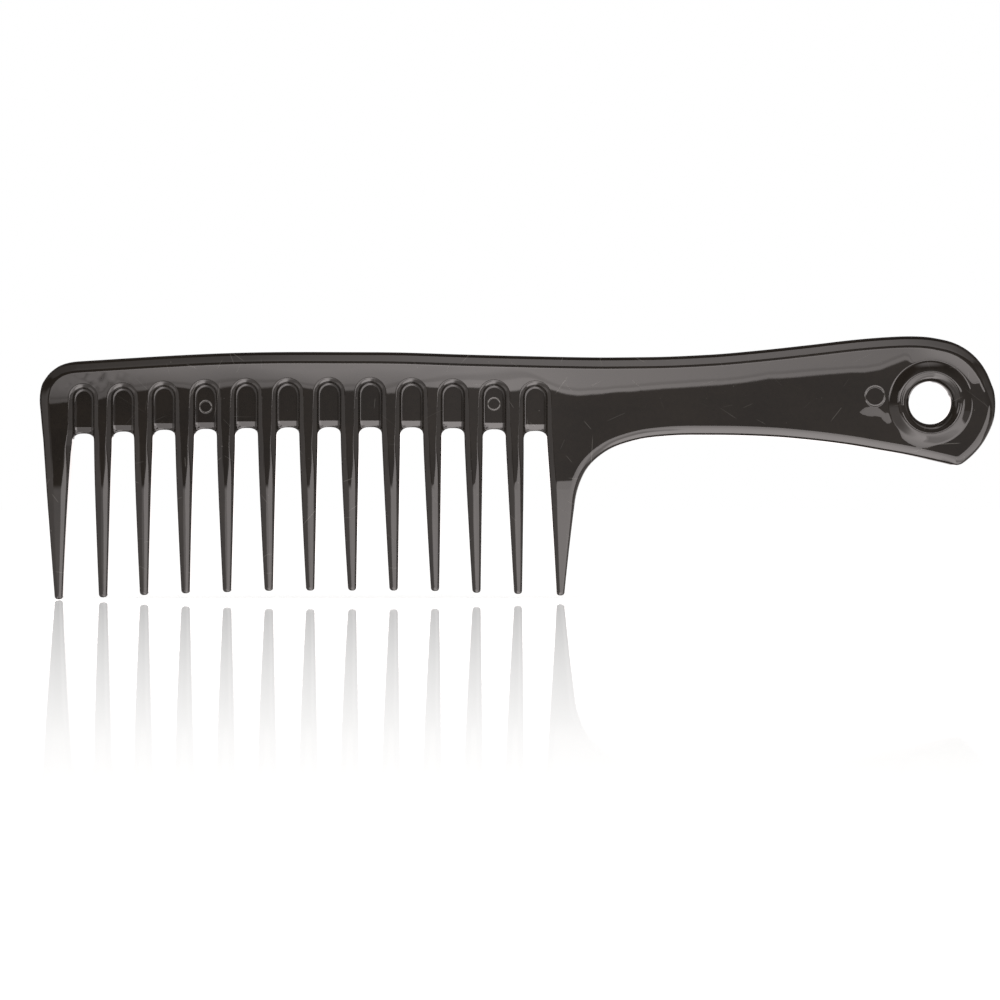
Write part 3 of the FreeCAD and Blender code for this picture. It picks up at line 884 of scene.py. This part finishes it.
def floor_material():
    """Glowing white, mirror-like behind the comb at grazing angles."""
    material = bpy.data.materials.new("studio_floor")
    tree = cleared_tree(material)
    diffuse = add_node(tree, "BsdfDiffuse", {"Color": (0.80, 0.80, 0.80, 1)})
    glow = add_node(tree, "Emission", {"Color": (1, 1, 1, 1), "Strength": 0.52})
    matt = add_node(tree, "AddShader", {0: diffuse, 1: glow})
    mirror = add_node(tree, "BsdfGlossy", {"Roughness": 0.03})
    geometry = add_node(tree, "NewGeometry")
    incoming = geometry.outputs["Incoming"]
    dot = add_node(tree, "VectorMath", {0: incoming, 1: (0, 0, 1)}, operation="DOT_PRODUCT")
    upward = Value(tree, dot.outputs["Value"])
    y = split(tree, geometry.outputs["Position"])[1]
    toward_y = split(tree, incoming)[1]
    # (upward part of the view direction, mirror strength)
    factor = upward.ramp([(0.036, 0.50), (0.060, 0.30), (0.085, 0.125), (0.110, 0.035),
                          (0.125, 0.0)]) * y.rise(0.012, 0.004) * toward_y.rise(-0.82, -0.95)
    mixed = add_node(tree, "MixShader", {0: factor, 1: matt, 2: mirror})
    add_node(tree, "OutputMaterial", {0: mixed})
    return material


def build_floor():
    size, z = 6.0, -0.04945             # half side and height, metres
    mesh = bpy.data.meshes.new("studio_floor")
    mesh.from_pydata([(-size, -size, z), (size, -size, z), (size, size, z), (-size, size, z)],
                     [], [(0, 1, 2, 3)])
    mesh.materials.append(floor_material())
    ob = place("studio_floor", mesh)
    ob.visible_glossy = False


# --------------------------------------------------------------------- light
# A studio of soft boxes, held in the world: what polished plastic mirrors is
# described by direction in degrees (azim from the front or rear axis, positive
# towards +x; elev up). Ramps are (degrees, brightness) unless noted.
def upper_card(azim, elev):
    """Bright card just above the horizon, with a wavy lower edge."""
    # elevation of the lower edge: a broad curve, then two rows of small waves
    edge = 2.13 + (azim + 0.4).max(0.0) * (azim + 0.4).max(0.0) * 0.0085 \
        + azim.min(0.0) * 0.012 + azim.rise(-8.8, -6.4) * azim.rise(1.7, 0.8) * 0.17
    edge = edge + azim.ramp([(-9.6, -0.12), (-9.0, -0.10), (-8.2, 0.04), (-5.6, 0.08),
                             (-3.0, 0.05), (-1.5, 0.0)])
    edge = edge + azim.ramp([
        (-5.2, 0.0), (-4.6, -0.035), (-4.1, -0.060), (-2.4, -0.065), (-1.7, -0.030), (-1.2, 0.0),
        (0.6, 0.0), (0.95, -0.045), (1.25, -0.050), (1.5, -0.032), (2.1, -0.026), (2.4, 0.010),
        (3.0, 0.030), (3.9, 0.027), (4.5, -0.002), (4.8, 0.010), (5.2, 0.040), (5.5, 0.060),
        (5.75, 0.034), (6.3, 0.010), (6.8, -0.015), (7.2, -0.031), (7.45, -0.060),
        (7.75, -0.045), (8.0, 0.02), (8.25, 0.07), (8.6, 0.03), (8.9, 0.0)])
    over = elev - edge
    shape = over.rise(-0.02, 0.03) * elev.rise(10.6, 9.6) * band(azim, -15, 27, 2)
    tone = azim.ramp([(-30, 1.3), (-9.5, 1.95), (-6.5, 3.15), (-3, 3.70), (0, 3.90),
                      (1.2, 3.55), (2.9, 3.12), (5.7, 2.72), (8, 2.45), (12, 3.0),
                      (28, 2.9)]) * elev.ramp([(3.3, 1.0), (6.0, 1.35)])
    # near the edge: a darker seam, a brighter lip and a fade to the left
    widening = 1.0 + azim.rise(-1.8, -0.9) * azim.rise(1.2, 0.2) * 1.2
    above = over / widening
    seam = 1.0 - above.rise(0.075, 0.10) * above.rise(0.17, 0.12) * 0.20
    lip = 1.0 + above.rise(0.0, 0.02) * above.rise(0.10, 0.07) * 0.04
    fade = 1.0 - azim.rise(-0.6, -2.6) * above.ramp([(0.0, 0.48), (0.42, 0.0)])
    return shape * tone * seam * lip * fade


def front_light(azim, elev):
    soft_box = elev.rise(29.5, 34) * elev.rise(64, 56) \
        * azim.ramp([(-60, 0.35), (-20, 0.5), (-9, 1.0), (-4, 1.75), (2, 2.5), (10, 2.1),
                     (40, 1.2), (70, 0.3)])
    # table below the horizon, its brightness across differing low down and
    # near the horizon, ending on the right at a slanting line
    low = azim.ramp([(-75, 0.12), (-20, 0.20), (-14, 0.33), (-10.6, 0.52), (-6.6, 0.80),
                     (-2, 0.95), (3, 1.0)])
    high = azim.ramp([(-75, 0.15), (-20, 0.18), (-14, 0.25), (-10, 0.33), (-8.3, 0.38),
                      (-6.4, 0.55), (-5.0, 0.77), (-2.2, 0.96)])
    beyond = azim - 32.5 - (-9.0 - elev).max(0.0).min(12.0) * 0.8
    to_high = elev.rise(-24, -15)
    table = elev.rise(-3.5, -4.5) * elev.rise(-76, -62) \
        * elev.ramp([(-60, 5.5), (-46, 5.4), (-36, 5.1), (-25, 4.8), (-18, 4.3), (-12, 3.9),
                     (-8, 3.8), (-5, 3.3)]) \
        * (1.0 - band(elev, -37, -20, 8) * azim.rise(5.0, 7.5) * 0.58) \
        * (high * to_high + low * (1.0 - to_high)) * (beyond.rise(2.0, -1.0) * 0.9 + 0.1)
    left = azim.rise(-9.8, -11.5) * azim.rise(-84, -78) * band(elev, -60, 10, 8) \
        * azim.ramp([(-80, 0.40), (-62, 0.72), (-45, 0.85), (-20, 0.90), (-10, 0.95)]) \
        * (1.0 - band(azim, -27.5, -5, 3) * elev.rise(-3.0, 2.5) * 0.92)
    low_right = azim.rise(-3.0, -1.0) * beyond.rise(1.5, -1.5) \
        * (elev - (azim + 2.0) * 0.24).rise(-3.75, -4.05) \
        * azim.ramp([(-3, 2.7), (6, 3.0), (14, 3.3)]) \
        * (1.0 - band(elev, -38, -24, 6) * azim.rise(7.3, 8.3) * 0.27) * elev.rise(-66, -60)
    dim = azim.ramp([(-9.6, 0.09), (-5, 0.24), (-0.4, 0.58), (2, 0.45), (8, 0.45), (36, 0.3),
                     (42, 0.3), (48, 0.8), (60, 0.8), (80, 0.3)])
    side_box = band(azim, -62, -43, 9) * band(elev, -48, -16, 9) * 0.85
    return upper_card(azim, elev).max(soft_box).max(table).max(left).max(low_right) \
        + dim * elev.rise(40, 8) + side_box


def rear_light(azim, elev):
    card = band(elev, -4, 14, 3) * band(azim, -13, 13, 3) * 2.2
    table = elev.rise(-4, -8) * elev.rise(-40, -30) * (band(azim, 43, 66, 9) * 0.9 + 1.05)
    return card.max(table) + 0.12


def build_world():
    world = bpy.data.worlds.new("studio")
    bpy.context.scene.world = world
    tree = cleared_tree(world)
    world.cycles.sampling_method = "NONE"
    x, y, z = split(tree, add_node(tree, "TexCoord").outputs["Generated"])
    azim = calc("ARCTAN2", x, y.abs().max(1e-5)) * (180 / math.pi)
    elev = calc("ARCSINE", z) * (180 / math.pi)
    in_front = y.rise(0.02, -0.02)
    studio = front_light(azim, elev) * in_front + rear_light(azim, elev) * (1.0 - in_front)

    def background(color, strength):
        return add_node(tree, "Background", {"Color": (*color, 1), "Strength": strength})

    # reflections see the studio, the camera plain white, the rest an even light
    path = add_node(tree, "LightPath")
    lit = add_node(tree, "MixShader", {0: path.outputs["Is Glossy Ray"],
                                       1: background((1.0, 0.99, 0.98), 0.72),
                                       2: background((1.03, 0.963, 0.952), studio)})
    seen = add_node(tree, "MixShader", {0: path.outputs["Is Camera Ray"], 1: lit,
                                        2: background((1, 1, 1), 1.0)})
    add_node(tree, "OutputWorld", {0: seen})


def build_camera():
    """Level camera in front of the comb, looking along +y."""
    scene = bpy.context.scene
    camera = bpy.data.cameras.new("photo_camera")
    camera.sensor_width = 36.0
    camera.lens = 100.41
    camera.clip_start = 0.01
    ob = place("photo_camera", camera)
    ob.location = (-0.10793, -0.7012, -0.02437)
    ob.rotation_euler = (math.pi / 2, 0, 0)
    scene.camera = ob
    scene.view_settings.view_transform = "Standard"
    scene.view_settings.look = "None"


# --------------------------------------------------------------------- build
plastic = comb_plastic()
owners = face_owners()
for k, name in enumerate(PIECES):
    build_piece(name, FACES[owners == k], plastic)
build_floor()
build_world()
build_camera()

bpy.context.view_layer.update()
